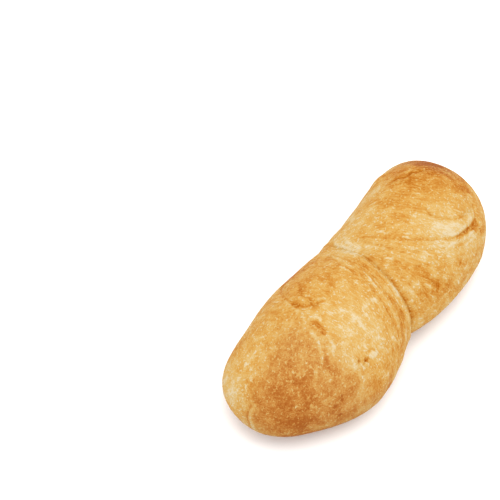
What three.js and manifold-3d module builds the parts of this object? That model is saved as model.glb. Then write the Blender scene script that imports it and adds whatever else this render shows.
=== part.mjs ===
// A double dinner roll: two oval lumps of dough that baked touching and hold together at a crease.
// Millimetres, +Z up. X runs along the roll, the crease lies across its middle, and it rests on Z = 0.

import * as THREE from 'three';
import { mergeVertices } from 'three/addons/utils/BufferGeometryUtils.js';
import Module from 'manifold-3d';

// Driving dimensions of the two lobes
// centre: where the widest level lies in plan, turn: the lobe's heading in degrees from +X
// inward, outward: reach from the centre to the hidden end past the crease and to the free end
// halfWidth: half the width, height: top above the base, belly: height of the widest level
// keel: how far the round underside would reach below the belly if the base were not flat
const FRONT_LOBE = {
  centre: [-37.6, 2.0],
  turn: 2.3,
  facing: 1,
  inward: 71.6,
  outward: 49.7,
  halfWidth: 35.6,
  height: 49.3,
  belly: 14.7,
  keel: 17.9,
};
const BACK_LOBE = {
  centre: [46.5, -2.2],
  turn: 1.6,
  facing: -1,
  inward: 70.9,
  outward: 41.4,
  halfWidth: 34.9,
  height: 51.8,
  belly: 15.1,
  keel: 18.6,
};

// Swells and hollows of the soft dough: a push along a direction, fading out over a reach
const FRONT_SWELLS = [
  { at: [-13, 27, 33], reach: 34, along: [0, 0.8, 0.6], push: -2.4 },
  { at: [-49, 29, 30], reach: 36, along: [0, 0.8, 0.6], push: -2.0 },
  { at: [-73, 22, 22], reach: 36, along: [-0.7, 0.7, 0], push: 6.4 },
  { at: [-73, -18, 14], reach: 36, along: [-0.7, -0.7, 0], push: -4.4 },
  { at: [2, 14, 40], reach: 16, along: [0, 0.3, 0.9], push: -1.0 },
  { at: [-8, -30, 15], reach: 14, along: [0, -1, 0], push: -0.9 },
];
const BACK_SWELLS = [
  { at: [15, 27, 33], reach: 34, along: [0, 0.8, 0.6], push: -1.2 },
  { at: [49, 29, 30], reach: 34, along: [0, 0.8, 0.6], push: -4.0 },
  { at: [73, 22, 22], reach: 32, along: [0.7, 0.7, 0], push: 3.7 },
  { at: [8, 31, 26], reach: 18, along: [0, 0.9, 0.4], push: 3.0 },
  { at: [8, 16, 37], reach: 17, along: [-0.3, 0.4, 0.9], push: 1.8 },
  { at: [44, -25, 43], reach: 12, along: [0, -0.6, 0.8], push: 1.3 },
  { at: [54, 22, 37], reach: 11, along: [0, 0.7, 0.7], push: 1.7 },
];

// Creases in the crust: grooves along a curve on the surface, each with its depth at the two ends
const THUMB_MARK = {
  through: [[-29, 30, 33], [-36, 22, 41], [-41, 16, 46], [-42, 11, 48], [-39, 6, 49], [-34, 3, 49]],
  depth: [0.8, 1.2],
  reach: 5,
};
const SCAR = { through: [[-47, 2, 49], [-48, -5, 48]], depth: [1.0, 1.0], reach: 4.5 };
const TEAR = { through: [[-49, -22, 39], [-43, -25, 37]], depth: [1.2, 1.2], reach: 4 };
const FOOT_FOLD = {
  through: [[-85, 8, 27], [-87, 9, 23], [-88, 9, 17], [-87, 6, 12]],
  depth: [0.6, 1.4],
  reach: 4.5,
};
const TUCK = {
  through: [
    [58, -25, 40], [54, -29, 37], [46, -28, 39], [37, -26, 41],
    [30, -23, 44], [21, -14, 47], [16, -5, 48],
  ],
  depth: [2.2, 0.3],
  reach: 6,
};
const UPPER_FOLD = {
  through: [[37, -11, 50], [37, -16, 49], [41, -20, 46], [47, -24, 44], [55, -26, 41]],
  depth: [0.4, 1.4],
  reach: 5,
};
const FRONT_CREASES = [THUMB_MARK, SCAR, TEAR, FOOT_FOLD];
const BACK_CREASES = [TUCK, UPPER_FOLD];
const CREASE_STEPS = 60;

// Fineness of the faceted surface, and the block that trims the base flat
const SPHERE_DETAIL = 17;
const SAME_POINT = 1e-5;
const TRIM_BLOCK = { length: 260, width: 160, depth: 60 };

// Golden-brown crust with a satin surface
const CRUST_COLOUR = '#dca05a';
const CRUST_ROUGHNESS = 0.55;

const wasm = await Module();
wasm.setup();

// A value that falls smoothly from 1 at the middle to 0 at the reach
function fade(distance, reach) {
  const t = Math.max(0, 1 - distance / reach);
  return t * t * (3 - 2 * t);
}

// Moves every point of a geometry by a function that changes it in place
function movePoints(geometry, move) {
  const position = geometry.getAttribute('position');
  const point = new THREE.Vector3();
  for (let i = 0; i < position.count; i += 1) {
    point.fromBufferAttribute(position, i);
    move(point);
    position.setXYZ(i, point.x, point.y, point.z);
  }
}

// An egg of dough: a ball stretched by different reaches to each side of its widest level
function lobeGeometry(lobe) {
  const ball = new THREE.IcosahedronGeometry(1, SPHERE_DETAIL);
  ball.deleteAttribute('normal');
  ball.deleteAttribute('uv');
  const geometry = mergeVertices(ball, SAME_POINT);
  const upright = new THREE.Vector3(0, 0, 1);
  movePoints(geometry, (point) => {
    point.x *= point.x * lobe.facing > 0 ? lobe.inward : lobe.outward;
    point.y *= lobe.halfWidth;
    point.z *= point.z > 0 ? lobe.height - lobe.belly : lobe.keel;
    point.applyAxisAngle(upright, THREE.MathUtils.degToRad(lobe.turn));
    point.add(new THREE.Vector3(lobe.centre[0], lobe.centre[1], lobe.belly));
  });
  return geometry;
}

function pushSwells(geometry, swells) {
  for (const swell of swells) {
    const middle = new THREE.Vector3(...swell.at);
    const direction = new THREE.Vector3(...swell.along).normalize();
    movePoints(geometry, (point) => {
      const amount = swell.push * fade(point.distanceTo(middle), swell.reach);
      point.addScaledVector(direction, amount);
    });
  }
}

// Presses each groove in along the surface normals
function pressCreases(geometry, creases) {
  geometry.computeVertexNormals();
  const normals = geometry.getAttribute('normal');
  const position = geometry.getAttribute('position');
  const point = new THREE.Vector3();
  const normal = new THREE.Vector3();
  for (const crease of creases) {
    const curve = new THREE.CatmullRomCurve3(crease.through.map((place) => new THREE.Vector3(...place)));
    const path = curve.getPoints(CREASE_STEPS);
    for (let i = 0; i < position.count; i += 1) {
      point.fromBufferAttribute(position, i);
      normal.fromBufferAttribute(normals, i);
      const distances = path.map((place) => place.distanceTo(point));
      const nearest = distances.indexOf(Math.min(...distances));
      const along = nearest / CREASE_STEPS;
      const depth = THREE.MathUtils.lerp(crease.depth[0], crease.depth[1], along);
      point.addScaledVector(normal, -depth * fade(distances[nearest], crease.reach));
      position.setXYZ(i, point.x, point.y, point.z);
    }
  }
  geometry.deleteAttribute('normal');
}

function toSolid(geometry) {
  const vertProperties = new Float32Array(geometry.getAttribute('position').array);
  const triVerts = new Uint32Array(geometry.index.array);
  return new wasm.Manifold(new wasm.Mesh({ numProp: 3, vertProperties, triVerts }));
}

function toGeometry(solid) {
  const mesh = solid.getMesh();
  const geometry = new THREE.BufferGeometry();
  geometry.setAttribute('position', new THREE.BufferAttribute(mesh.vertProperties, 3));
  geometry.setIndex(new THREE.BufferAttribute(mesh.triVerts, 1));
  return geometry;
}

function lobeSolid(lobe, swells, creases) {
  const geometry = lobeGeometry(lobe);
  pushSwells(geometry, swells);
  pressCreases(geometry, creases);
  return toSolid(geometry);
}

function trimBlock() {
  const box = new THREE.BoxGeometry(TRIM_BLOCK.length, TRIM_BLOCK.width, TRIM_BLOCK.depth);
  box.translate(0, 0, -TRIM_BLOCK.depth / 2);
  box.deleteAttribute('normal');
  box.deleteAttribute('uv');
  return toSolid(mergeVertices(box));
}

function rollGeometry() {
  const front = lobeSolid(FRONT_LOBE, FRONT_SWELLS, FRONT_CREASES);
  const back = lobeSolid(BACK_LOBE, BACK_SWELLS, BACK_CREASES);
  const joined = front.add(back);
  const geometry = toGeometry(joined.subtract(trimBlock()));
  geometry.computeBoundingBox();
  const centre = geometry.boundingBox.getCenter(new THREE.Vector3());
  geometry.translate(-centre.x, -centre.y, 0);
  geometry.computeVertexNormals();
  return geometry;
}

const crust = new THREE.MeshStandardMaterial({ color: CRUST_COLOUR, roughness: CRUST_ROUGHNESS });
const roll = new THREE.Mesh(rollGeometry(), crust);
roll.name = 'roll';

const group = new THREE.Group();
group.add(roll);

export default group;
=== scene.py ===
# %% [markdown]
# # A double dinner roll
# Two oval pieces of soft white dough are set end to end, swell until they touch, and bake into one
# roll with a crease across its middle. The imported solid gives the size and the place, so it is loaded
# first and its box is kept. Everything below is modelled in that same frame, in metres.

# %% Load the frame
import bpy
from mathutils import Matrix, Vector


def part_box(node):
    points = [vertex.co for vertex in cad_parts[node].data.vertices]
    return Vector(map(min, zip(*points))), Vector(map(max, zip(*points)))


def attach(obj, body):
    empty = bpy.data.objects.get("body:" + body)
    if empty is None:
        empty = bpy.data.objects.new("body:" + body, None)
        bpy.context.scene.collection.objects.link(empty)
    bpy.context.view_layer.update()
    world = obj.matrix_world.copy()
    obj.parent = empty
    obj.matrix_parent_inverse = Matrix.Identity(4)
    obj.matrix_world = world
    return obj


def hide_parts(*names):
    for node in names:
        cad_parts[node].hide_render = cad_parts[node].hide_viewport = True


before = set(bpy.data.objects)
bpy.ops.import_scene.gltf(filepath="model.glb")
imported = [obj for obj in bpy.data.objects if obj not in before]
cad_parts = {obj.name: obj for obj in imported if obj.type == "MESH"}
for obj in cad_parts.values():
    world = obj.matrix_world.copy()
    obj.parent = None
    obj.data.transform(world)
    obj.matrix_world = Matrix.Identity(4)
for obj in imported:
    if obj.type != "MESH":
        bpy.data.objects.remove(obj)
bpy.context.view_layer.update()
print("packed nodes:", sorted(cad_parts))

# %% Tools for this lesson
import math

import bpy
import numpy as np
from mathutils import Vector, noise
from mathutils.bvhtree import BVHTree

MM = 0.001
lowest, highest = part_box("roll")
print("solid, mm:", [round(side / MM, 1) for side in highest - lowest])

# %% [markdown]
# ## Floor, light and camera
# The roll lies in a light tent: white below, white all round, and a large soft lamp above. A camera
# with a long lens looks down at about fifty degrees. Setting these first means that every later step
# can be judged in the picture. The light is strong enough to wash the floor out to white.

# %% Floor
FLOOR_SIZE = 6.0
FLOOR_COLOUR = (0.9, 0.9, 0.895, 1.0)
FLOOR_ROUGHNESS = 0.9
bpy.ops.object.select_all(action="DESELECT")
bpy.ops.mesh.primitive_plane_add(size=FLOOR_SIZE, location=(0, 0, 0))
floor = bpy.context.object
floor.name = "floor"
paper = bpy.data.materials.new("white_paper")
paper.use_nodes = True
paper_shader = paper.node_tree.nodes["Principled BSDF"]
paper_shader.inputs["Base Color"].default_value = FLOOR_COLOUR
paper_shader.inputs["Roughness"].default_value = FLOOR_ROUGHNESS
floor.data.materials.append(paper)
print("floor across, m:", FLOOR_SIZE)

# %% Light tent
TENT_COLOUR = (1.0, 1.0, 1.0, 1.0)
TENT_STRENGTH = 1.5
LAMP_PLACE = (-0.1, -0.15, 0.9)
LAMP_SIZE = 0.7
LAMP_POWER = 3.5
tent = bpy.data.worlds.new("tent")
tent.use_nodes = True
tent_light = tent.node_tree.nodes["Background"]
tent_light.inputs["Color"].default_value = TENT_COLOUR
tent_light.inputs["Strength"].default_value = TENT_STRENGTH
bpy.context.scene.world = tent
bpy.ops.object.light_add(type="AREA", location=LAMP_PLACE)
lamp = bpy.context.object
lamp.data.size = LAMP_SIZE
lamp.data.energy = LAMP_POWER
lamp.rotation_euler = (-Vector(LAMP_PLACE)).to_track_quat("-Z", "Y").to_euler()
bpy.context.scene.view_settings.view_transform = "Standard"
print("lamp above, m:", LAMP_PLACE)

# %% Camera
CAMERA_AZIMUTH = math.radians(-58.03)
CAMERA_ELEVATION = math.radians(49.5)
CAMERA_ANGLE = math.radians(22.0)
CAMERA_DISTANCE = 652.4 * MM
CAMERA_TARGET = Vector((9.2, 69.05, 0.0)) * MM
back_of_view = Vector((
    math.sin(CAMERA_AZIMUTH) * math.cos(CAMERA_ELEVATION),
    -math.cos(CAMERA_AZIMUTH) * math.cos(CAMERA_ELEVATION),
    math.sin(CAMERA_ELEVATION),
))
bpy.ops.object.camera_add(location=CAMERA_TARGET + back_of_view * CAMERA_DISTANCE)
camera = bpy.context.object
camera.rotation_euler = back_of_view.to_track_quat("Z", "Y").to_euler()
camera.data.angle = CAMERA_ANGLE
bpy.context.scene.camera = camera
print("camera, m:", [round(value, 3) for value in camera.location])

# %% [markdown]
# ## The two lobes
# Each piece of dough is an egg lying on its side, longer towards its neighbour than towards its free
# end, and low in the belly. A globe of rings would show its poles once it is pushed about. An icosphere
# has even triangles all over, so it takes a stretch and a push from any side. It is added at the width
# of the lobe, its halves are resized by their own amounts, and the whole is turned to its heading.

# %% Sizes of the lobes
# millimetres and degrees; facing is the way to the crease along X, inward and outward are the reaches
# to the hidden end past the crease and to the free end, the belly is the height of the widest level,
# and the keel is the depth of the ball below it
LOBES = {
    "front": dict(
        centre=(-37.6, 2.0), turn=2.3, facing=1, inward=71.6, outward=49.7,
        half_width=35.6, height=49.3, belly=14.7, keel=17.9,
    ),
    "back": dict(
        centre=(46.5, -2.2), turn=1.6, facing=-1, inward=70.9, outward=41.4,
        half_width=34.9, height=51.8, belly=15.1, keel=18.6,
    ),
}


def points_of(piece):
    """The vertices of a piece as rows of millimetres."""
    flat = np.empty(len(piece.data.vertices) * 3, np.float32)
    piece.data.vertices.foreach_get("co", flat)
    return flat.reshape(-1, 3).astype(float) / MM


def pick(piece, chosen):
    """Goes into edit mode with only the chosen vertices selected."""
    bpy.ops.object.mode_set(mode="EDIT")
    bpy.ops.mesh.select_mode(type="VERT")
    bpy.ops.mesh.select_all(action="DESELECT")
    bpy.ops.object.mode_set(mode="OBJECT")
    piece.data.vertices.foreach_set("select", np.asarray(chosen, bool))
    bpy.ops.object.mode_set(mode="EDIT")


def pick_all(piece):
    pick(piece, np.ones(len(piece.data.vertices)))


print("lobes to make:", sorted(LOBES))

# %% Stretch a ball into an egg
BALL_CUTS = 7
MIDDLE_GAP = 0.01


def add_lobe(name, size):
    bpy.ops.object.select_all(action="DESELECT")
    middle = Vector((*size["centre"], size["belly"])) * MM
    bpy.ops.mesh.primitive_ico_sphere_add(
        subdivisions=BALL_CUTS, radius=size["half_width"] * MM, location=middle)
    lobe = bpy.context.object
    lobe.name = name
    bpy.ops.object.transform_apply(location=True, rotation=False, scale=False)
    ahead = (points_of(lobe)[:, 0] - size["centre"][0]) * size["facing"]
    above = points_of(lobe)[:, 2] - size["belly"]
    half = size["half_width"]
    stretches = [
        (ahead > MIDDLE_GAP, (size["inward"] / half, 1, 1)),
        (ahead < -MIDDLE_GAP, (size["outward"] / half, 1, 1)),
        (above > MIDDLE_GAP, (1, 1, (size["height"] - size["belly"]) / half)),
        (above < -MIDDLE_GAP, (1, 1, size["keel"] / half)),
    ]
    for chosen, factors in stretches:
        pick(lobe, chosen)
        bpy.ops.transform.resize(value=factors, center_override=middle)
        bpy.ops.object.mode_set(mode="OBJECT")
    pick_all(lobe)
    bpy.ops.transform.rotate(
        value=-math.radians(size["turn"]), orient_axis="Z", center_override=middle)
    bpy.ops.object.mode_set(mode="OBJECT")
    span = np.ptp(points_of(lobe), axis=0).round(1)
    print(name, "lobe, mm:", span.tolist(), "vertices:", len(lobe.data.vertices))
    return lobe


lobes = {name: add_lobe(name, size) for name, size in LOBES.items()}

# %% [markdown]
# ## Swells and hollows
# Dough is never a true egg. Proportional editing pulls one vertex and lets its neighbours follow, less
# and less with distance, which is just how a soft lump gives way to a hand. The far flanks are drawn
# in, the free ends bulge on one side, and a web of dough fills the far end of the crease.

# %% Push the dough about
# place in mm, reach, direction, how far it is pushed (inwards if negative)
SWELLS = {
    "front": [
        ((-13, 27, 33), 34, (0, 0.8, 0.6), -2.4),
        ((-49, 29, 30), 36, (0, 0.8, 0.6), -2.0),
        ((-73, 22, 22), 36, (-0.7, 0.7, 0), 6.4),
        ((-73, -18, 14), 36, (-0.7, -0.7, 0), -4.4),
        ((2, 14, 40), 16, (0, 0.3, 0.9), -1.0),
        ((-8, -30, 15), 14, (0, -1, 0), -0.9),
    ],
    "back": [
        ((15, 27, 33), 34, (0, 0.8, 0.6), -1.2),
        ((49, 29, 30), 34, (0, 0.8, 0.6), -4.0),
        ((73, 22, 22), 32, (0.7, 0.7, 0), 3.7),
        ((8, 31, 26), 18, (0, 0.9, 0.4), 3.0),
        ((8, 16, 37), 17, (-0.3, 0.4, 0.9), 1.8),
        ((44, -25, 43), 12, (0, -0.6, 0.8), 1.3),
        ((54, 22, 37), 11, (0, 0.7, 0.7), 1.7),
    ],
}


def push(lobe, place, reach, direction, amount):
    """Moves the vertex nearest to a place, and its surroundings with it."""
    gaps = np.linalg.norm(points_of(lobe) - np.array(place), axis=1)
    pick(lobe, gaps == gaps.min())
    bpy.ops.transform.translate(
        value=Vector(direction).normalized() * amount * MM, use_proportional_edit=True,
        proportional_edit_falloff="SMOOTH", proportional_size=reach * MM)
    bpy.ops.object.mode_set(mode="OBJECT")


for name, lobe in lobes.items():
    bpy.ops.object.select_all(action="DESELECT")
    lobe.select_set(True)
    bpy.context.view_layer.objects.active = lobe
    for swell in SWELLS[name]:
        push(lobe, *swell)
    print(name, "lobe pushed", len(SWELLS[name]), "times")

# %% [markdown]
# ## One roll out of two
# The pieces of dough grew together in the oven. A Boolean union would leave long thin triangles at the
# crease, so the lobes are joined and given one common skin by a voxel remesh, which drops the walls
# inside. The base is cut flat, and a second remesh makes its edge as even as the rest. A little
# smoothing rounds the rim and the bottom of the crease. The shape of each lobe is remembered as a
# search tree before it goes, because the crease is the line where the common skin is close to both.

# %% Join, cut and remesh
SKIN_VOXEL = 0.68 * MM
SMOOTH_SHARE = 0.5
SMOOTH_TURNS = 3


def finish_with(piece, kind, **settings):
    """Adds one modifier to a piece and applies it."""
    step = piece.modifiers.new(kind.lower(), kind)
    for key, value in settings.items():
        setattr(step, key, value)
    bpy.ops.object.modifier_apply(modifier=step.name)


def search_tree(piece):
    faces = [tuple(face.vertices) for face in piece.data.polygons]
    return BVHTree.FromPolygons(points_of(piece).tolist(), faces)


trees = {name: search_tree(lobe) for name, lobe in lobes.items()}
bpy.ops.object.select_all(action="DESELECT")
for lobe in lobes.values():
    lobe.select_set(True)
    bpy.context.view_layer.objects.active = lobe
bpy.ops.object.join()
roll = bpy.context.object
roll.name = "crusty_roll"
finish_with(roll, "REMESH", mode="VOXEL", voxel_size=SKIN_VOXEL)
pick_all(roll)
bpy.ops.mesh.bisect(plane_co=(0, 0, 0), plane_no=(0, 0, 1), use_fill=True, clear_inner=True)
bpy.ops.object.mode_set(mode="OBJECT")
finish_with(roll, "REMESH", mode="VOXEL", voxel_size=SKIN_VOXEL)
finish_with(roll, "SMOOTH", factor=SMOOTH_SHARE, iterations=SMOOTH_TURNS)
bpy.ops.object.shade_smooth()
print("skin vertices:", len(roll.data.vertices), "mm:", np.ptp(points_of(roll), axis=0).round(1).tolist())

# %% Set it where the solid is
found = points_of(roll)
found_middle = (found.min(0) + found.max(0)) / 2
to_solid = Vector((
    (lowest.x + highest.x) / 2 - found_middle[0] * MM,
    (lowest.y + highest.y) / 2 - found_middle[1] * MM,
    lowest.z - found[:, 2].min() * MM,
))
pick_all(roll)
bpy.ops.transform.translate(value=to_solid)
bpy.ops.object.mode_set(mode="OBJECT")
print("moved by, mm:", [round(value / MM, 2) for value in to_solid])

# %% [markdown]
# ## Where the crease runs
# The crease is where the two pieces of dough meet. It could be traced by hand, but the lobes know it:
# the skin's vertices that lie close to both form a narrow band over the roll. Sorting them by their
# angle about the long axis and averaging them in steps gives one clean line, and the folds, the stretch
# marks and the colours are measured from it.

# %% Measure the crease
BAND = 0.9
BAND_LOWEST = 1.5
CREASE_STEPS = 48


def gaps_to(tree, points):
    return np.array([tree.find_nearest(point)[3] for point in points.tolist()])


skin = points_of(roll)
moved = np.array(to_solid) / MM
to_front = gaps_to(trees["front"], skin - moved)
to_back = gaps_to(trees["back"], skin - moved)
on_front = to_front < to_back
band = skin[(to_front < BAND) & (to_back < BAND) & (skin[:, 2] > BAND_LOWEST)]
turns = np.arctan2(band[:, 2], -band[:, 1])
slots = np.digitize(turns, np.linspace(0, math.pi, CREASE_STEPS + 1))
crease_line = np.array([band[slots == slot].mean(0) for slot in np.unique(slots)])
print("crease points:", len(crease_line), "from", crease_line[0].round(1), "to", crease_line[-1].round(1))

# %% Soft edges and soft curves
PATH_STEPS = 8


def smooth_step(low, high, value):
    """From 0 at low to 1 at high, without a corner."""
    t = np.clip((value - low) / (high - low), 0, 1)
    return t * t * (3 - 2 * t)


def fade(gap, reach):
    """From 1 on a line or a place to 0 at the reach, without a corner."""
    return smooth_step(0, 1, 1 - gap / reach)


def soft_path(through):
    """A smooth curve through some points, as a row of short steps."""
    pins = np.array(through, float)
    pins = np.vstack([2 * pins[0] - pins[1], pins, 2 * pins[-1] - pins[-2]])
    t = np.linspace(0, 1, PATH_STEPS, endpoint=False)[:, None]
    runs = [
        b + 0.5 * t * (c - a + t * (2 * a - 5 * b + 4 * c - d + t * (3 * (b - c) + d - a)))
        for a, b, c, d in zip(pins, pins[1:], pins[2:], pins[3:])
    ]
    return np.vstack(runs + [pins[-2:-1]])


print("a fade at a quarter, half and three quarters:", fade(np.array([0.25, 0.5, 0.75]), 1).round(2))

# %% Distances to lines on the skin
NO_LENGTH = 1e-9
skin_tree = search_tree(roll)
flat_normals = np.empty(len(roll.data.vertices) * 3, np.float32)
roll.data.vertices.foreach_get("normal", flat_normals)
normals = flat_normals.reshape(-1, 3).astype(float)


def beside(through, reach, waver):
    """Distance to a line laid on the skin, share of its length, and side of it, for each vertex."""
    path = np.array([skin_tree.find_nearest(point)[0] for point in soft_path(through).tolist()])
    near = ((skin > path.min(0) - reach) & (skin < path.max(0) + reach)).all(1)
    close = (skin + waver)[near]
    facing = normals[near]
    gap = np.full(len(close), np.inf)
    share = np.zeros(len(close))
    side = np.ones(len(close))
    for step, (start, end) in enumerate(zip(path, path[1:])):
        run = end - start
        t = np.clip((close - start) @ run / max(run @ run, NO_LENGTH), 0, 1)
        off = close - start - t[:, None] * run
        distance = np.linalg.norm(off, axis=1)
        better = distance < gap
        gap[better] = distance[better]
        share[better] = (step + t[better]) / (len(path) - 1)
        side[better] = np.sign((off * np.cross(facing, run)).sum(1))[better]
    whole = [np.full(len(skin), np.inf), np.zeros(len(skin)), np.ones(len(skin))]
    for array, values in zip(whole, (gap, share, side)):
        array[near] = values
    return whole


print("skin vertices above the base:", int((skin[:, 2] > 1).sum()))

# %% [markdown]
# ## Soft unevenness
# Nothing on dough is ruled with a straight edge. Sculpting every lump would take hours and could not be
# repeated. A noise value for each vertex serves instead, in several sizes: broad for the lumps of the
# form, finer for the waver of every line drawn on it and for breaking up the marks. Blender's noise
# module gives the same value for the same place on every run.

# %% Noise on the skin
SEED_STEP = (17.3, 9.1, 5.7)
LUMP_SIZE = 22
BREAKUP_SIZE = 2.4
# size in mm, amount in mm, seed
WOBBLES = [(5.0, 0.9, 2), (1.8, 0.5, 8)]
WOBBLE_SHARE = 0.6
ALL_OVER = 300.0


def noise_of(points, size, seed):
    """A smooth value from about -1 to 1 for each point, with lumps of a size in mm."""
    offset = Vector([seed * step for step in SEED_STEP])
    return np.array([noise.noise(Vector(point) / size + offset) for point in points.tolist()])


def wobble_of(size, amount, seed):
    """A shift along the skin for each vertex, which makes a straight line waver."""
    sway = amount * np.stack([noise_of(skin, size, seed + k) for k in range(3)], axis=1)
    return sway - (sway * normals).sum(1)[:, None] * normals


lumps = noise_of(skin, LUMP_SIZE, seed=1)
breakup = noise_of(skin, BREAKUP_SIZE, seed=5)
line_waver = WOBBLE_SHARE * sum(wobble_of(*wobble) for wobble in WOBBLES)
seam_gap, seam_share, _ = beside(crease_line, ALL_OVER, line_waver)
print("lumps from", lumps.min().round(2), "to", lumps.max().round(2))
print("skin nearest to the crease:", int((seam_gap < 5).sum()), "vertices within 5 mm")

# %% [markdown]
# ## The crease and its lip
# The near piece of dough swelled over its neighbour, so it ends in a rounded lip, and a narrow groove
# lies just beyond it. An edge loop would have to be cut along the whole crease to model that. Instead
# an amount is painted from the distance to the crease: wide and round on the lip's side, narrow and
# sharp on the other. Towards the far end the two pieces run together and the groove fades out.

# %% Press the groove, raise the lip
SEAM_DEPTH = 0.55
LIP_REACH = 6.0
GROOVE_REACH = 1.3
LIP_HEIGHT = 0.5
LIP_AWAY = 3.4
SCALLOP_SIZE = 4.0
SCALLOP_SHARE = 0.5
# shares of the crease's length between which it runs out, and between which the web ends
RUNS_OUT = (0.58, 0.82)
WEB_ENDS = (0.78, 0.92)
GROOVE_LOSS = 0.75
WEB_FILL = 1.2
WEB_REACH = 4.5
far_end = smooth_step(*RUNS_OUT, seam_share)
scallops = 1 + SCALLOP_SHARE * noise_of(skin, SCALLOP_SIZE, seed=12)
seam_reach = np.where(on_front, LIP_REACH, GROOVE_REACH)
seam_depth = SEAM_DEPTH * (1 - GROOVE_LOSS * far_end)
pressed = seam_depth * np.clip(1 - seam_gap / seam_reach, 0, 1) ** 2
on_lip = on_front * fade(np.abs(seam_gap - LIP_AWAY), LIP_AWAY)
raised = LIP_HEIGHT * scallops * on_lip * (1 - far_end)
on_web = far_end * (1 - smooth_step(*WEB_ENDS, seam_share)) * fade(seam_gap, WEB_REACH)
raised += WEB_FILL * on_web
print("groove, mm:", pressed.max().round(2), "lip, mm:", raised.max().round(2))

# %% Painted shade in and beside the crease
# Painted shade: the groove of the crease and the back lobe just beyond it are made browner, and so is the
# lit edge of the lip.
GROOVE_SHADE = 0.19
GROOVE_SHADE_REACH = 1.1
LIP_EDGE_SHADE = 0.08
LIP_EDGE_SHADE_AWAY = 2.0
LIP_EDGE_SHADE_REACH = 1.5
BEYOND_SHADE = 0.15
BEYOND_SHADE_REACH = 4.0
SEAM_BREAKUP = 0.7
lip_edge_shade = LIP_EDGE_SHADE * fade(np.abs(seam_gap - LIP_EDGE_SHADE_AWAY), LIP_EDGE_SHADE_REACH)
beyond_shade = BEYOND_SHADE * fade(seam_gap, BEYOND_SHADE_REACH)
# painted shade in the groove, beyond it and on the lip's edge, faded out towards the far end
browned = GROOVE_SHADE * fade(seam_gap, GROOVE_SHADE_REACH)
browned += np.where(on_front, lip_edge_shade, beyond_shade)
browned = browned * (1 - far_end) * (1 + SEAM_BREAKUP * breakup)
print("crease browner by up to", browned.max().round(2))

# %% [markdown]
# ## Marks of shaping on the back lobe
# The crust keeps what hands and oven did to it. On the back lobe a tuck runs under a pillow of dough, an
# upper fold bends round the pillow, a small fold lies at the far end, and a pale web closes the crease.
# These could be sculpted with a brush. A stroke can be written down instead: a line laid on the skin,
# slimmer towards its ends, which presses the skin in or lifts it, and tints it.

# %% The tuck and its pillow
# places in mm, half width, depth (lifted if negative), how much browner; a pair is for the two ends
TUCK = [
    (61, -25, 38.5), (59, -25.5, 37.5), (57.5, -27, 36.5), (55.5, -28, 36), (49.5, -28, 37.5),
    (43.5, -27.5, 39.5), (38, -26.5, 40.5), (34, -24.5, 41.5), (29, -21.5, 43.5), (24.5, -17, 45.5),
    (18.5, -11, 47.5),
]
NECK_LINE = [(10.5, 10.5, 44), (12, 5, 46), (13.5, -0.5, 47.5), (15.5, -5.5, 48), (18.5, -10, 47.5)]
PILLOW = [(29.5, -18, 46.5), (34.5, -21, 45.5), (39, -24.5, 44), (44, -26, 42.5), (53.5, -26, 39)]
PILLOW_EDGE = [(36, -25, 42), (41.5, -26.5, 41.5), (48, -27, 40), (55.5, -26.5, 37), (58, -25, 38)]
TUCK_MARKS = [
    (TUCK, 5.0, (0.25, 0.3), (0.03, 0.02)),
    (TUCK, 1.6, (0.1, 0.25), (0.06, 0.22)),
    (NECK_LINE, 1.2, 0.1, 0.16),
    ([(56.5, -29, 34.5), (50, -29, 36.5)], 4.4, 0.05, 0.12),
    ([(52, -29, 36), (44, -28, 38.5)], 3.4, 0.05, 0.12),
    ([(48, -28, 38), (39, -27, 40)], 2.0, 0.2, 0.14),
    ([(37.5, -27, 40), (43, -28, 39), (50, -29, 36.5), (55.5, -29, 34.5)], 2.2, 0.05, 0.12),
    ([(48, -28.5, 37.5), (44, -29.5, 37)], 1.2, 0.3, 0.14),
    ([(62, -24.5, 39), (59.5, -26, 37.5), (57, -28, 36)], 1.2, 0.2, 0.24),
    ([(56.5, -28.5, 35.5), (56, -31, 33.5), (56, -33, 29.5), (55.5, -34.5, 26)], 1.2, 0.2, 0.16),
    (PILLOW, 4.5, -0.3, -0.12),
    (PILLOW_EDGE, 1.6, -0.2, -0.14),
]
print("strokes of the tuck:", len(TUCK_MARKS))

# %% Streaks below the tuck and the upper fold
LONG_STREAK = [(11, -11, 46), (16.5, -17, 45), (24, -22.5, 42.5), (30, -26, 40.5), (38, -28.5, 38.5)]
UPPER_FOLD = [
    (37.5, -12, 50), (37, -14.5, 49), (38.5, -17.5, 47), (41, -20.5, 46), (44, -23, 45),
    (48.5, -24.5, 43), (56.5, -24.5, 38.5),
]
FLANK_MARKS = [
    ([(50.5, -30.5, 34.5), (42.5, -29.5, 37.5), (36, -28, 39), (30, -24.5, 41.5)], 1.5, -0.2, -0.20),
    ([(53.5, -32.5, 32), (45, -32, 34), (37, -30.5, 36.5)], 1.4, -0.2, -0.16),
    ([(23, -17, 45.5), (27, -21, 43.5), (32, -24.5, 41.5)], 1.0, -0.2, -0.22),
    ([(26, -22.5, 42.5), (31, -26.5, 40), (38, -28, 39)], 1.0, -0.2, -0.20),
    (LONG_STREAK, 1.3, 0.2, 0.10),
    ([(11.5, -20, 41.5), (15.5, -23, 40.5), (20, -26.5, 38.5)], 1.2, 0.2, 0.12),
    (UPPER_FOLD, 3.5, (0.3, 0.5), 0.02),
    (UPPER_FOLD, 1.3, 0.3, 0.14),
    ([(38.5, -10, 50.5), (37, -12, 49.5), (37, -14.5, 48.5)], 1.1, 0.15, 0.12),
]
print("strokes on the near flank:", len(FLANK_MARKS))

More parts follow.
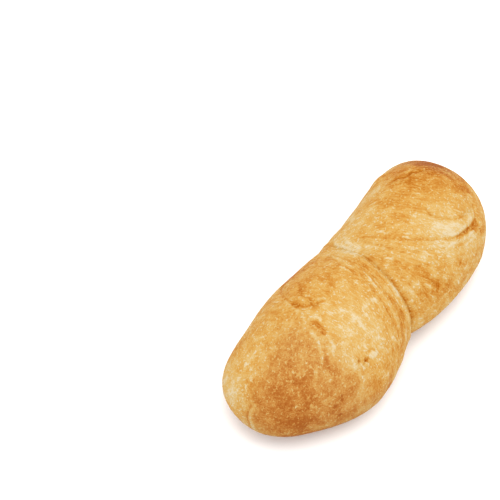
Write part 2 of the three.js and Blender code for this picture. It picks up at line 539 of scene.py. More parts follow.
# %% The far end, the low flank and the web
WEB_CREST = [(12, 20.5, 36), (6.5, 16, 39.5), (3.5, 11, 41.5), (2, 7, 43)]
WEB_PALE = [
    (11.5, 22, 34), (7, 18.5, 36.5), (5, 15, 39.5), (3.5, 11.5, 41), (2, 8.5, 42), (3, 6.5, 42.5),
]
WEB_EDGE = [
    (10, 22, 33.5), (5.5, 19, 36), (4, 15.5, 38.5), (2.5, 12, 40.5), (-0.5, 7.5, 43), (1, 3.5, 43.5),
]
FAR_END_MARKS = [
    ([(47, 11.5, 48), (49.5, 10.5, 49), (50.5, 8, 49.5), (52.5, 7, 50), (55.5, 7, 49.5)], 1.6, 0.3, 0.18),
    ([(55, 8, 49.5), (56.5, 5.5, 49.5), (58, 4, 49.5), (60.5, 2.5, 49.5), (63, 1, 48.5)], 1.1, 0.4, 0.22),
    ([(55.5, 10, 48), (56.5, 8.5, 48.5), (58.5, 8.5, 48)], 1.3, -0.3, -0.25),
    ([(43.5, 10.5, 48.5), (45.5, 11, 48.5), (47.5, 10, 49)], 0.9, -0.3, -0.20),
    ([(45.5, 6, 50.5), (48, 6.5, 50.5), (50.5, 5.5, 50.5)], 0.9, -0.3, -0.22),
    ([(69.5, 5.5, 44.5), (71.5, 2, 44), (71.5, -2, 44)], 4.0, 0.2, 0.20),
    ([(71.5, -15.5, 41), (67, -20.5, 40), (64.5, -25.5, 36), (61.5, -29.5, 32)], 3.2, 0.0, 0.14),
]
LOW_MARKS = [
    ([(14, -27.5, 34.5), (14.5, -30, 31), (14, -31.5, 28)], 3.2, 0.3, 0.22),
    ([(20, -30.5, 33), (20.5, -32, 30)], 1.3, -0.3, -0.16),
    ([(9.5, -30, 28.5), (12, -31.5, 26)], 1.0, -0.2, -0.22),
    ([(32, -33, 31), (33, -33, 31)], 1.8, 0.2, 0.20),
]
WEB_MARKS = [
    (WEB_CREST, 7.0, -0.15, -0.15),
    (WEB_PALE, 2.0, -0.15, -0.16),
    (WEB_EDGE, 1.2, 0.05, 0.04),
]
print("strokes at the far end, low down and on the web:", len(FAR_END_MARKS + LOW_MARKS + WEB_MARKS))

# %% [markdown]
# ## Marks of shaping on the front lobe
# A thumb left a curved hollow near the top. Beside it is a short brown scar with pale runs of skin below
# it, and on the near flank a small tear with a pale flap. The lip of the crease is pale in places, and a
# fold shows at the foot of the nose. They are strokes like those on the back lobe, so that one loop can
# lay them all.

# %% The thumb mark
THUMB_MARK = [
    (-24.5, 31.5, 30), (-35.5, 23, 40), (-39.5, 17.5, 44), (-41, 13.5, 46), (-40.5, 10, 47.5),
    (-38, 7.5, 48), (-35.5, 6, 48.5),
]
THUMB_MARKS = [
    (THUMB_MARK, 4.5, (0.4, 0.7), 0.04),
    (THUMB_MARK, 1.7, (0.15, 0.2), 0.13),
    # The wide stroke inside the arc is painted shade in the hollow of the thumb mark.
    ([(-39.5, 17, 44.5), (-40.5, 13, 46.5), (-40, 10, 47.5), (-38.5, 8, 48)], 2.8, 0.1, 0.11),
    ([(-25.5, 21.5, 41.5), (-32, 16.5, 45.5), (-35.5, 13.5, 47), (-36.5, 9, 48)], 1.5, 0.2, 0.14),
    ([(-36, 14.5, 46.5), (-37, 12, 47.5), (-37, 10, 48)], 1.1, -0.2, -0.22),
    ([(-40, 19, 43), (-43, 15, 45.5), (-44.5, 11, 47), (-44.5, 8, 48)], 1.3, -0.3, -0.16),
    ([(-37, 7.5, 48), (-35, 6, 48.5), (-32.5, 3.5, 48.5)], 1.3, -0.3, -0.30),
    ([(-39, 6.5, 48), (-36, 4.5, 48), (-33, 3, 48.5)], 1.2, 0.1, 0.14),
]
print("strokes of the thumb mark:", len(THUMB_MARKS))

# %% The scar and the tear
SCAR = [(-47.5, 3.5, 48), (-46.5, 0.5, 48), (-47.5, -2, 47.5), (-48.5, -5, 47)]
SCAR_MARKS = [
    (SCAR, 3.2, 0.05, (0.16, 0.26)),
    ([(-47.5, -1.5, 47.5), (-48.5, -5.5, 47)], 2.6, 0.0, 0.14),
    ([(-46.5, 4.5, 48), (-44.5, 3, 48.5), (-43.5, 0.5, 49), (-44.5, -1, 48.5)], 1.6, -0.3, -0.30),
    ([(-50.5, 1, 48), (-52.5, -3, 47.5), (-54, -5.5, 46.5)], 1.4, -0.2, -0.26),
    ([(-45.5, 7.5, 48), (-49, 5, 48), (-52, 3.5, 47.5)], 1.2, -0.2, -0.12),
    ([(-53, -5, 47), (-55.5, -6.5, 46), (-57.5, -9, 44.5), (-59.5, -10.5, 43.5)], 1.1, -0.2, -0.25),
    ([(-48.5, -6, 47), (-50.5, -10.5, 46), (-52, -12, 45), (-54.5, -13, 44)], 1.1, -0.2, -0.23),
    ([(-62, -9.5, 43), (-64.5, -10.5, 41), (-66.5, -12, 39.5)], 1.1, -0.2, -0.28),
    ([(-51.5, -7, 46.5), (-54.5, -9, 45.5), (-58, -11.5, 43.5), (-60.5, -15, 40.5)], 1.8, 0.1, 0.12),
]
TEAR_MARKS = [
    # The first two strokes are the holes of the tear: pressed in, and painted brown as shade in them.
    ([(-48, -21.5, 38), (-47.5, -22, 38)], 1.5, 0.8, 0.60),
    ([(-45, -23.5, 37), (-43.5, -24, 36.5)], 2.5, 0.4, 0.50),
    ([(-44.5, -24, 36.5), (-47, -24, 36.5)], 0.9, 0.3, 0.22),
    ([(-41.5, -24.5, 37), (-40, -25, 36.5), (-38.5, -26, 36)], 2.7, -0.5, -0.42),
    ([(-41, -23, 39), (-39, -24, 38), (-37.5, -25, 37)], 1.2, 0.2, 0.22),
    ([(-50, -22.5, 37.5), (-52.5, -22.5, 37.5)], 1.2, -0.2, -0.24),
    ([(-45, -25.5, 35.5), (-46, -25, 36)], 1.6, -0.4, -0.22),
    ([(-33, -27, 35), (-34.5, -25.5, 36), (-33, -24.5, 37), (-32, -26, 36)], 0.8, -0.3, -0.16),
]
print("strokes of the scar and the tear:", len(SCAR_MARKS + TEAR_MARKS))

# %% The lip, the nose and its foot
LIP_SHADE = [(-9.5, -24.5, 32.5), (-11.5, -26, 31), (-13.5, -28, 28.5), (-17.5, -30.5, 23.5)]
FOOT_FOLD = [
    (-83, 7, 28), (-84.5, 8.5, 24.5), (-85.5, 8.5, 20), (-86, 7, 15.5), (-85.5, 4, 11.5), (-84, 0, 9),
]
FOOT_LINE = [(-85, 10, 23.5), (-86, 9.5, 18.5), (-86, 8, 14), (-85.5, 5, 10), (-83.5, 0.5, 7)]
LIP_MARKS = [
    ([(-5, -14, 40.5), (-4.5, -17, 38.5), (-5, -20.5, 35)], 2.4, 0.0, -0.26),
    ([(-1.5, -5.5, 43.5), (-4.5, -11, 42)], 1.6, 0.0, -0.14),
    ([(-10, -15, 41.5), (-10, -18, 39)], 1.4, 0.1, 0.14),
    ([(1, 2, 43.5), (-0.5, -3, 43.5), (-2, -8, 42.5), (-3, -12, 41.5)], 1.2, 0.0, 0.14),
    (LIP_SHADE, 5.0, 0.0, 0.12),
]
NOSE_MARKS = [
    ([(-62.5, -22.5, 31), (-63.5, -23.5, 28)], 1.0, 0.3, 0.25),
    ([(-67, -21.5, 27), (-66, -22, 26)], 2.2, 0.2, 0.18),
    ([(-64.5, -24.5, 20), (-65.5, -24, 20)], 2.0, 0.2, 0.16),
    (FOOT_FOLD, 1.5, (-0.3, 0.0), -0.26),
    (FOOT_LINE, 1.3, (0.2, 0.0), 0.16),
    ([(-84.5, 8.5, 25), (-84.5, 6, 25.5), (-83.5, 4.5, 27)], 1.3, -0.2, -0.16),
]
print("strokes on the lip and the nose:", len(LIP_MARKS + NOSE_MARKS))

# %% Lines drawn out beside the crease
# places in mm, how much browner; a brown line is pressed in and a pale one lifted
DRAWN_LINES = [
    ([(-10.5, -2, 46.5), (-13, -7.5, 45.5), (-14.5, -12, 44), (-15, -15.5, 42.5)], 0.14),
    ([(-15, -15.5, 42.5), (-17, -20, 39.5), (-18.5, -23.5, 36.5), (-19.5, -26.5, 32.5),
      (-20.5, -30.5, 24)], 0.16),
    ([(-13.5, -16, 41.5), (-15, -20.5, 38.5), (-16, -24, 35), (-17, -27, 31.5)], -0.10),
    ([(-23, -19, 41.5), (-23.5, -21.5, 39.5), (-24.5, -24, 37), (-26.5, -27, 33.5),
      (-30, -31, 27.5)], 0.15),
    ([(-19, -13, 44.5), (-22, -17.5, 42), (-25, -22, 39), (-28.5, -26, 35)], 0.08),
    ([(-21, -24.5, 36), (-22.5, -27, 32.5), (-23.5, -29.5, 28), (-26, -31.5, 22),
      (-29.5, -33, 15.5)], 0.16),
    ([(-37, -31.5, 27), (-38.5, -32.5, 24)], 0.14),
    ([(-10, -20, 38), (-13, -26, 32), (-15, -29, 25), (-17, -30, 18)], 0.12),
    ([(-3, 16.5, 40), (-5, 13, 42.5), (-6.5, 9.5, 44.5)], -0.30),
    ([(-11.5, 8, 46), (-12, 4.5, 46.5), (-13, 1, 47)], -0.24),
    ([(-8.5, -4, 45.5), (-10, -7, 45), (-12, -10.5, 44)], -0.30),
    ([(1.5, -1.5, 43.5), (-0.5, -4, 43.5), (-3, -7, 43.5)], -0.20),
    ([(-25, -26.5, 34), (-23, -29.5, 28)], -0.14),
]
LINE_WIDTH = 1.2
LINE_DEPTH = 0.9
DRAWN_MARKS = [(path, LINE_WIDTH, LINE_DEPTH * brown, brown) for path, brown in DRAWN_LINES]
print("drawn-out lines:", len(DRAWN_MARKS))

# %% Lay all the strokes
FLAT_MIDDLE = 1.4
SLIM_ENDS = 0.55
FULL_MIDDLE = 0.9
MARK_BREAKUP = 0.4
REACH_SPARE = 3
BACK_MARKS = TUCK_MARKS + FLANK_MARKS + FAR_END_MARKS + LOW_MARKS + WEB_MARKS
FRONT_MARKS = THUMB_MARKS + SCAR_MARKS + TEAR_MARKS + LIP_MARKS + NOSE_MARKS
for path, half_width, depth, brown in BACK_MARKS + FRONT_MARKS + DRAWN_MARKS:
    gap, share, _ = beside(path, half_width + REACH_SPARE, line_waver)
    slim = SLIM_ENDS + FULL_MIDDLE * np.sqrt(share * (1 - share))
    weight = np.minimum(FLAT_MIDDLE * fade(gap, half_width * slim), 1) * (1 + MARK_BREAKUP * breakup)
    depth_here = weight * np.interp(share, (0, 1), np.broadcast_to(depth, 2))
    pressed += np.maximum(depth_here, 0)
    raised += np.maximum(-depth_here, 0)
    browned += weight * np.interp(share, (0, 1), np.broadcast_to(brown, 2))
print("pressed up to mm:", pressed.max().round(2), "raised up to mm:", raised.max().round(2))

# %% [markdown]
# ## Stretch marks
# Beside the crease the dough was drawn out, and its skin shows fine lines that leave the far neck
# together and fan out over the near flanks. A plain noise has no direction, so it needs coordinates that
# follow the fan. A guide line on each lobe marks the fan's outer edge. A vertex's share of the way from
# the crease to the guide tells which line it lies on, and is kept with the distance along the guide for
# the material. A noise stretched the same way gives the ridges between the lines.

# %% Fans beside the crease
FRONT_GUIDE = [
    (-4, 15, 42), (-7, 7, 45), (-10, -1, 46), (-15, -14, 43), (-18, -23, 37), (-19, -27, 31),
    (-27, -30, 28), (-36, -32, 24), (-45, -33, 15),
]
BACK_GUIDE = [(10, 5, 45), (14, -10, 47), (26, -25, 42), (46, -32, 34), (60, -30, 28)]
FAN_BEYOND = 14.0
FAN_STARTS = (0.02, 0.12)
FAN_ENDS = (0.85, 1.6)
NO_GAP = 1e-6
plain_gap = beside(crease_line, ALL_OVER, 0)[0]


def fan(guide, on_lobe, outer_side):
    """For each vertex its place across the fan and along it, and how much the skin was drawn there."""
    gap, along, side = beside(guide, ALL_OVER, 0)
    across = plain_gap / np.maximum(plain_gap + gap, NO_GAP)
    across = np.where(side == outer_side, 1 + gap / FAN_BEYOND, across)
    drawn = on_lobe * smooth_step(*FAN_STARTS, across) * (1 - smooth_step(*FAN_ENDS, across))
    return across, along, drawn


front_fan = fan(FRONT_GUIDE, on_front, outer_side=-1)
back_fan = fan(BACK_GUIDE, ~on_front, outer_side=1)
print("fan lines reach", front_fan[0].max().round(1), "and", back_fan[0].max().round(1), "guide gaps out")

# %% Ridges between the lines
FANS_APART = 10
RIDGE_COUNTS = np.array([9.0, 5.0, 0.0])
RIDGE_HEIGHT = 0.22
RIDGE_BROWN = 0.16
fan_across = np.where(on_front, front_fan[0], FANS_APART + back_fan[0])
fan_along = np.where(on_front, front_fan[1], back_fan[1])
stretched = np.maximum(front_fan[2], back_fan[2])
fan_places = np.stack([fan_across, fan_along, stretched], axis=1)
ridges = stretched * noise_of(fan_places * RIDGE_COUNTS, size=1.0, seed=15)
raised += RIDGE_HEIGHT * np.maximum(ridges, 0)
pressed += RIDGE_HEIGHT * np.maximum(-ridges, 0)
browned -= RIDGE_BROWN * ridges
print("stretched skin:", int((stretched > 0.5).sum()), "vertices, ridges to", ridges.max().round(2))

# %% [markdown]
# ## Streaks round the girth
# Rolling a piece of dough draws its skin out round the girth, so that the small flecks on the crust are
# longer that way than along the roll. The same noise gives them if its coordinates are squeezed round
# the girth. On the front lobe they run with the crease and on the back lobe they lean, so each vertex
# keeps its own pair of distances, and the two ends stay even.

# %% Places along the streaks
GIRTH_RADIUS = 32.0
GIRTH_MIDDLE = 12.0
BACK_LEAN = 0.58
STREAK_SQUEEZE = 0.40
LOBES_APART = 100.0
STREAKS_BEGIN = (-62, -38)
STREAKS_END = (62, 80)


def girth_of(points):
    """How far round the roll each point lies, in mm from the near side."""
    return GIRTH_RADIUS * np.arctan2(points[:, 2] - GIRTH_MIDDLE, -points[:, 1])


girth = girth_of(skin)
beside_seam = skin[:, 0] - np.interp(girth, girth_of(crease_line), crease_line[:, 0])
across_streaks = np.where(on_front, beside_seam, skin[:, 0] + BACK_LEAN * girth)
streak_places = np.stack([across_streaks, STREAK_SQUEEZE * girth, LOBES_APART * on_front], axis=1)
streaked = smooth_step(*STREAKS_BEGIN, skin[:, 0]) * (1 - smooth_step(*STREAKS_END, skin[:, 0]))
print("girth from", girth.min().round(), "to", girth.max().round(), "mm")

# %% [markdown]
# ## Give the skin its relief
# The two painted amounts become vertex groups, and a Displace modifier moves the skin along its normals
# by each of them, once inwards and once outwards. A weight can't be negative, which is why there are
# two. Broad lumps and a fine grain are added to the raised one, and their mean height is pressed back.
# Near the base everything fades so that the roll still rests flat.

# %% Press and raise
PRESS_LIMIT = 6.0
RAISE_LIMIT = 4.0
LUMP_HEIGHT = 0.5
GRAIN_HEIGHT = 0.07
RIM_HEIGHT = 4.0
NO_WEIGHT = 1e-4
level_skin = LUMP_HEIGHT + GRAIN_HEIGHT
raised += LUMP_HEIGHT * (1 + lumps) + GRAIN_HEIGHT * (1 + breakup)


def paint_weights(name, values):
    group = roll.vertex_groups.new(name=name)
    for index in np.flatnonzero(values > NO_WEIGHT):
        group.add([int(index)], float(values[index]), "REPLACE")


def displace(name, amount, limit):
    """Moves the skin along its normals by an amount for each vertex, as far as the limit, in mm."""
    paint_weights(name, np.clip(amount / abs(limit), 0, 1))
    finish_with(roll, "DISPLACE", vertex_group=name, strength=limit * MM, mid_level=0.0)


above_base = smooth_step(0.0, RIM_HEIGHT, skin[:, 2])
displace("pressed", (pressed + level_skin) * above_base, -PRESS_LIMIT)
displace("raised", raised * above_base, RAISE_LIMIT)
print("relief painted on", len(roll.vertex_groups), "groups")

# %% [markdown]
# ## How brown the crust is
# The oven browns the ends and the tops and leaves the stretched and sheltered places pale. Noise alone
# would put brown anywhere, and a painted picture would have to be stored. One number for each vertex
# holds it instead: it starts from an even gold, soft dabs make it browner or paler, and the marks add
# their own tints. Painted shade goes into the same number: skin that faces down, the groove of the
# crease and the skin beside it are made browner. The material turns the number into a colour.

# %% Dabs on the front lobe
# place in mm, reach, how much browner or paler
BROWNED_FRONT = [
    ((-80, -7, 27), 26, 0.30), ((-68, -20, 27), 16, 0.14), ((-74, -3, 38), 18, 0.16),
    ((-65, 2, 44), 16, 0.16), ((-77, -15, 20), 14, 0.14), ((-66, -24, 20), 12, 0.13),
    ((-58, -29, 19), 10, 0.12), ((-80, -11, 21), 12, 0.10), ((-77, -12, 29), 8, 0.06),
    ((-86, 9, 20), 12, 0.10), ((-83, 8, 30), 10, 0.10), ((-59, -22, 35), 12, 0.14),
    ((-60, -9, 44), 11, 0.10), ((-50, -30, 26), 12, 0.10), ((-63, 33, 25), 13, 0.18),
    ((-40, 29, 33), 10, 0.10), ((-51, 13, 45), 9, 0.08), ((-13, 31, 27), 16, 0.32),
    ((-21, 29, 33), 10, 0.18), ((-10, 24, 36), 9, 0.10), ((-24, 6, 48), 10, 0.16),
    ((-37, 11, 47), 9, 0.08), ((-32, 12, 47), 7, 0.10), ((-28, 17, 45), 9, 0.08),
    ((-15, 13, 45), 9, 0.06), ((-7, 1, 46), 8, 0.06), ((-8, -25, 30), 9, 0.06),
    ((-10, -18.5, 38.5), 3.5, 0.14), ((-15, -16, 42), 6, 0.20), ((-62, -1, 44), 8, 0.12),
    ((-60, -17, 40), 7, 0.14), ((-56, -26, 30), 8, 0.12), ((-45, -21, 40), 8, 0.10),
    ((-9, -10, 44), 6, 0.10), ((-37, -28, 33), 6, 0.04), ((-69, -16, 34), 6, 0.08),
]
PALE_FRONT = [
    ((-81, 24, 26), 16, -0.10), ((-36, -12, 46), 17, -0.22), ((-24, -12, 46), 14, -0.10),
    ((-22, -20, 40), 10, -0.10), ((-30, -23, 39), 12, -0.07), ((-46, -17, 43), 12, -0.12),
    ((-52, -18, 42), 9, -0.14), ((-14, -29, 25), 8, -0.20), ((-6, -17, 39), 7, -0.10),
    ((-81, 26, 20), 11, -0.16), ((-85, 17, 24), 8, -0.16), ((-83, 22, 23), 9, -0.10),
    ((-74, 27, 27), 9, -0.10), ((-77, 22, 32), 7, -0.08), ((-60, 20, 40), 9, -0.10),
    ((-50, 3, 48), 8, -0.05), ((-44, 29, 34), 8, -0.08), ((-34, -2, 49), 8, -0.08),
    ((-23, -3, 48), 8, -0.16), ((-67, 3, 43), 6, -0.06), ((-77, -3, 35), 7, -0.12),
    ((-44, -7, 48), 8, -0.10),
]
print("dabs on the front lobe:", len(BROWNED_FRONT + PALE_FRONT))

# %% Dabs on the back lobe
BROWNED_BACK = [
    ((69, 2, 45), 17, 0.24), ((71, 10, 42), 17, 0.28), ((72, -10, 42), 15, 0.26),
    ((64, -19, 42), 9, 0.18), ((63, -16, 45), 9, 0.16), ((74, -14, 40), 9, 0.10),
    ((8, -27, 32), 8, 0.22), ((71, 15, 38), 10, 0.18), ((57, 17, 43), 11, 0.22),
    ((60, -2, 50), 12, 0.12), ((61, -9, 49), 12, 0.08), ((52, 6, 50), 14, 0.24),
    ((46, -2, 52), 10, 0.13), ((35, 7, 50), 10, 0.10), ((27, 2, 49), 9, 0.12),
    ((17, -33, 24), 10, 0.16), ((10, -28, 31), 7, 0.08), ((80, 2, 28), 22, 0.20),
    ((5, -29, 27), 8, 0.08), ((2, -21, 37), 5, 0.10), ((74, 6, 41), 8, 0.14),
    ((26, -35, 21), 11, 0.14),
]
PALE_BACK = [
    ((36, -22, 44), 11, -0.36), ((53, -25, 40), 8, -0.30), ((44, -29, 37), 8, -0.18),
    ((41, -17, 48), 9, -0.16), ((31, -16, 48), 9, -0.22), ((33, -29, 37), 11, -0.18),
    ((23, -22, 43), 10, -0.28), ((14, -19, 43), 8, -0.24), ((28, -12, 49), 9, -0.10),
    ((45, -33, 33), 9, -0.15), ((2, 12, 41), 9, -0.20), ((5, 6, 43), 9, -0.18),
    ((-1, -29, 19), 7, -0.22), ((22, 17, 42), 10, -0.14), ((39, 20, 40), 10, -0.06),
    ((47, -16, 49), 9, -0.16), ((3, 1, 44), 7, -0.12), ((9, -10, 45), 8, -0.12),
    ((14, 13, 44), 8, -0.12), ((46, -31, 35), 7, -0.10), ((20, -16, 46), 7, -0.10),
    ((38, -12, 50), 7, -0.14), ((9, 19, 37), 6, -0.10), ((21, 7, 47), 7, -0.08),
    ((26, -25, 41), 7, -0.10), ((17, -27, 37), 7, -0.08), ((49, -36, 25), 13, -0.14),
]
print("dabs on the back lobe:", len(BROWNED_BACK + PALE_BACK))

# %% Add the dabs to an even gold
EVEN_GOLD = 0.47
UNDERSIDE_SHADE = 0.25
FACING_DOWN = (0.1, 0.8)
bake = EVEN_GOLD + browned
for place, reach, amount in BROWNED_FRONT + PALE_FRONT + BROWNED_BACK + PALE_BACK:
    bake += amount * fade(np.linalg.norm(skin - np.array(place), axis=1), reach)
# painted shade: skin that faces down is made browner
bake += UNDERSIDE_SHADE * smooth_step(*FACING_DOWN, -normals[:, 2])
print("bake from", bake.min().round(2), "to", bake.max().round(2))

# %% [markdown]
# ## Painted shade low down and at the far end
# On the near side of the nose, all round the low rim, round the foot and at the far end the colour is
# made duller and a little darker than its browning alone makes it. This is painted shade, for the
# weaker light that reaches these places. Moving the lamp would shade them too, but the rest with them.
# So a second number is painted for each vertex, and the material takes some purity and brightness from
# the colour by it.

# %% Paint the shade
FOOT_SHADE = 2.2
FOOT_SHADE_BROWN = 0.07
END_SHADE = 1.8
# distances in mm between which each of them comes in or goes out
NEAR_SIDE = (4, 20)
FOOT_LENGTH = (20, 50)
FOOT_HEIGHT = (11, 24)
NOSE_LENGTH = (40, 60)
RIM_LEVEL = (6, 16)
END_LENGTH = (60, 72)
END_SIDE = (-16, -2)
x, y, z = skin.T
on_near_side = 1 - smooth_step(*NEAR_SIDE, y)
on_foot = on_near_side * smooth_step(*FOOT_LENGTH, -x) * (1 - smooth_step(*FOOT_HEIGHT, z))
on_nose = on_near_side * smooth_step(*NOSE_LENGTH, -x)
on_end = smooth_step(*END_LENGTH, x) * smooth_step(*END_SIDE, y)
# painted shade: a greyer and darker colour on the near side of the nose, on the low rim, round the foot
# and at the far end
dull = np.maximum(on_nose, 1 - smooth_step(*RIM_LEVEL, z))
dull += FOOT_SHADE * on_foot + END_SHADE * on_end
# painted shade round the foot is also made browner
bake += FOOT_SHADE_BROWN * on_foot
print("dull share of the skin:", dull.mean().round(2))

# %% Keep the numbers on the mesh
def keep(name, kind, field, values):
    layer = roll.data.attributes.new(name, kind, "POINT")
    layer.data.foreach_set(field, np.ascontiguousarray(values, np.float32).ravel())


keep("bake", "FLOAT", "value", bake)
keep("fan", "FLOAT_VECTOR", "vector", fan_places)
# the painted shade is kept on the mesh for the material
keep("dull", "FLOAT", "value", dull)
keep("streaks", "FLOAT_VECTOR", "vector", streak_places * MM)
keep("streaked", "FLOAT", "value", streaked)
print("attributes:", [layer.name for layer in roll.data.attributes if not layer.is_internal])

# %% [markdown]
# ## Shader maths in Python
# A node tree is a drawing of a sum. Wrapping a socket in a small class lets the sum be written as one,
# with plus and times, and each operator adds its Math node. One method makes any other node.

# %% A socket that can count
class Value:
    tree = None

    def __init__(self, socket):
        self.socket = socket

    @classmethod
    def node(cls, kind, settings=None, sockets=None, output=0):
        """Adds a node, sets it, fills or links its sockets, and returns one of its outputs."""
        made = cls.tree.nodes.new(kind)
        for key, value in (settings or {}).items():
            if key == "stops":
                while len(made.color_ramp.elements) < len(value):
                    made.color_ramp.elements.new(1.0)
                for stop, (position, colour) in zip(made.color_ramp.elements, value):
                    stop.position = position
                    stop.color = colour
            else:
                setattr(made, key, value)
        for key, value in (sockets or {}).items():
            if isinstance(value, Value):
                cls.tree.links.new(value.socket, made.inputs[key])
            else:
                made.inputs[key].default_value = value
        return cls(made.outputs[output])

    def math(self, operation, *others):
        """Adds a Math node that works on this value and the others, in that order."""
        values = dict(enumerate((self, *others)))
        return Value.node("ShaderNodeMath", {"operation": operation}, values)

    def __add__(self, other):
        return self.math("ADD", other)

    def __sub__(self, other):
        return self.math("SUBTRACT", other)

    def __mul__(self, other):
        return self.math("MULTIPLY", other)

    def __rsub__(self, other):
        return (self * -1.0) + other

    def between(self, low, high):
        """0 below low, 1 above high, and smooth between."""
        settings = {"interpolation_type": "SMOOTHSTEP"}
        sockets = {"Value": self, "From Min": low, "From Max": high}
        return Value.node("ShaderNodeMapRange", settings, sockets)


crust = bpy.data.materials.new("crust")
crust.use_nodes = True
Value.tree = crust.node_tree
Value.tree.nodes.clear()
print("tree ready:", crust.name)

# %% [markdown]
# ## The crust
# Baked crust is cream where it stayed pale, then straw, gold, amber and brown. A ramp holds these
# colours in order, and the level that runs through it is the painted number plus mottling: broad
# clouds, patches, freckles, a fine grain, pale specks, flecks and threads where the skin blistered, and
# the stretch lines. Mixing separate colours would let brown and cream meet without the gold between
# them. The same grains feed roughness and bump, so that light and colour agree.

# %% Colours of the crust
DAYLIGHT = 1.82
SHEEN = 0.004


def seen(red, green, blue):
    """The paint that shows these sRGB values, from 0 to 255, in this light and under its sheen."""
    display = np.array([red, green, blue]) / 255
    linear = np.where(display < 0.04045, display / 12.92, ((display + 0.055) / 1.055) ** 2.4)
    return (*((linear - SHEEN) / DAYLIGHT).clip(0, 1).tolist(), 1.0)


CRUST_COLOURS = [
    (0.0, seen(243, 222, 181)),
    (0.25, seen(236, 197, 126)),
    (0.5, seen(231, 176, 94)),
    (0.7, seen(219, 150, 70)),
    (0.85, seen(205, 127, 50)),
    (1.0, seen(187, 103, 32)),
]
print("gold:", [round(value, 3) for value in CRUST_COLOURS[2][1]])

# %% Mottling
CLOUD_SCALE = 70
PATCH_SCALE = 200
FRECKLE_SCALE = 520
GRAIN_SCALE = 1500
SPECK_SCALE = 860
SPECK_EDGE = (0.115, 0.18)
on_object = Value.node("ShaderNodeTexCoord", output="Object")


def cloud(scale, detail, roughness=0.5, vector=on_object):
    """Noise on both sides of zero, finer with a larger scale."""
    sockets = {"Vector": vector, "Scale": scale, "Detail": detail, "Roughness": roughness}
    return Value.node("ShaderNodeTexNoise", None, sockets) - 0.5


clouds = cloud(CLOUD_SCALE, detail=2)
patches = cloud(PATCH_SCALE, detail=3)
freckles = cloud(FRECKLE_SCALE, detail=3, roughness=0.65)
grain = cloud(GRAIN_SCALE, detail=2, roughness=0.6)
specks = cloud(SPECK_SCALE, detail=1).between(*SPECK_EDGE)
print("nodes for the mottling:", len(Value.tree.nodes))

# %% Flecks and strands along the streaks
FLECK_SCALE = 380
FLECK_EDGE = (0.12, 0.21)
CLUSTER_SCALE = 170
CLUSTER_SHARE = 0.35
NET_SCALE = 480
NET_WIDTH = 0.07


def kept(name, output):
    """What was kept on the mesh under a name."""
    return Value.node("ShaderNodeAttribute", {"attribute_name": name}, output=output)


along_streaks = kept("streaks", "Vector")
streak_share = kept("streaked", "Fac")


def streaky(scale):
    """A cloud that is drawn out along the girth where the dough was, and even elsewhere."""
    even = cloud(scale, detail=2, roughness=0.6)
    drawn = cloud(scale, detail=2, roughness=0.6, vector=along_streaks)
    return even + streak_share * (drawn - even)


clusters = cloud(CLUSTER_SCALE, detail=1)
flecks = (streaky(FLECK_SCALE) + clusters * CLUSTER_SHARE).between(*FLECK_EDGE)
net = 1 - streaky(NET_SCALE).math("ABSOLUTE").between(0.0, NET_WIDTH)
print("nodes with the flecks:", len(Value.tree.nodes))

# %% Stretch lines
LINE_COUNTS = (20.0, 7.0, 0.0)
in_fan = kept("fan", "Vector")
fan_strength = Value.node("ShaderNodeSeparateXYZ", None, {"Vector": in_fan}, output="Z")
along_lines = Value.node("ShaderNodeVectorMath", {"operation": "MULTIPLY"}, {0: in_fan, 1: LINE_COUNTS})
lines = cloud(scale=1.0, detail=2, roughness=0.6, vector=along_lines) * fan_strength
print("nodes with the lines:", len(Value.tree.nodes))

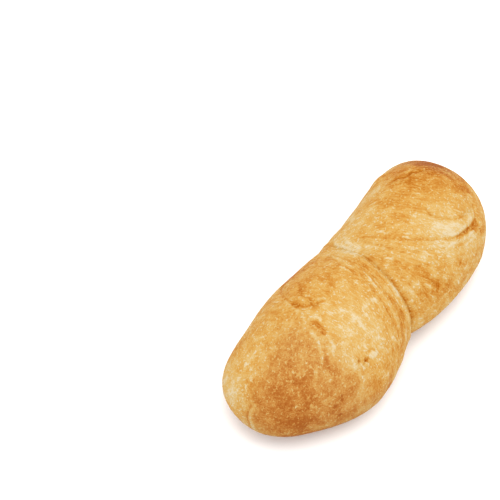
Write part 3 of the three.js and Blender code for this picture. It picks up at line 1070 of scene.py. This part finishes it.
# %% Colour from the level
CLOUD_TONE = 0.6
PATCH_TONE = 0.85
FRECKLE_TONE = 0.25
GRAIN_TONE = 0.45
LINE_TONE = 0.6
TONE_LIMIT = 0.16
TONE_SOFTNESS = 0.2
NET_PALE = 0.18
SPECK_PALE = 0.32
FLECK_PALE = 0.30
LEVEL_LIFT = 0.08
uneven = clouds * CLOUD_TONE + patches * PATCH_TONE + freckles * FRECKLE_TONE + grain * GRAIN_TONE
mottling = uneven.math("SMOOTH_MIN", TONE_LIMIT, TONE_SOFTNESS)
strands = net * NET_PALE + specks * SPECK_PALE + flecks * FLECK_PALE
level = kept("bake", "Fac") + mottling + lines * LINE_TONE - strands + LEVEL_LIFT
bright = Value.node("ShaderNodeValToRGB", {"stops": CRUST_COLOURS}, {"Fac": level})
print("nodes with the ramp:", len(Value.tree.nodes))

# %% Painted shade in the colour
PURITY = 1.025
PURITY_LOSS = 0.04
BRIGHTNESS = 1.02
BRIGHTNESS_LOSS = 0.05
# where painted shade was kept, the colour loses some purity and brightness
painted_shade_share = kept("dull", "Fac")
purity = PURITY - painted_shade_share.math("MINIMUM", 1.0) * PURITY_LOSS
brightness = BRIGHTNESS - painted_shade_share * BRIGHTNESS_LOSS
colour = Value.node(
    "ShaderNodeHueSaturation", None, {"Saturation": purity, "Value": brightness, "Color": bright})
print("nodes with the dull places:", len(Value.tree.nodes))

# %% Roughness, bump and shader
EVEN_ROUGHNESS = 0.6
FRECKLE_ROUGHNESS = 0.5
GRAIN_ROUGHNESS = 0.3
GRAIN_BUMP = 0.5
FRECKLE_BUMP = 0.6
LINE_BUMP = 0.8
STRAND_BUMP = 0.8
BUMP_STRENGTH = 0.5
BUMP_DEPTH = 0.6 * MM
CRUST_GLOSS = 0.03
roughness = freckles * FRECKLE_ROUGHNESS + grain * GRAIN_ROUGHNESS + EVEN_ROUGHNESS
height = grain * GRAIN_BUMP + freckles * FRECKLE_BUMP + lines * LINE_BUMP + strands * STRAND_BUMP
bumped = Value.node(
    "ShaderNodeBump", None,
    {"Strength": BUMP_STRENGTH, "Distance": BUMP_DEPTH, "Height": height}, output="Normal")
skin_shader = Value.node(
    "ShaderNodeBsdfPrincipled", None,
    {"Base Color": colour, "Roughness": roughness, "Normal": bumped, "Specular IOR Level": CRUST_GLOSS})
surface = Value.tree.nodes.new("ShaderNodeOutputMaterial")
Value.tree.links.new(skin_shader.socket, surface.inputs["Surface"])
print("nodes in the crust:", len(Value.tree.nodes))

# %% [markdown]
# ## Finish the piece
# The finished skin takes the crust material, rides on the part's only body, and stands for the solid,
# which is hidden.

# %% Put the roll on its body
roll.data.materials.clear()
roll.data.materials.append(crust)
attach(roll, "root")
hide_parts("roll")
roll.data.calc_loop_triangles()
print("triangles:", len(roll.data.loop_triangles))
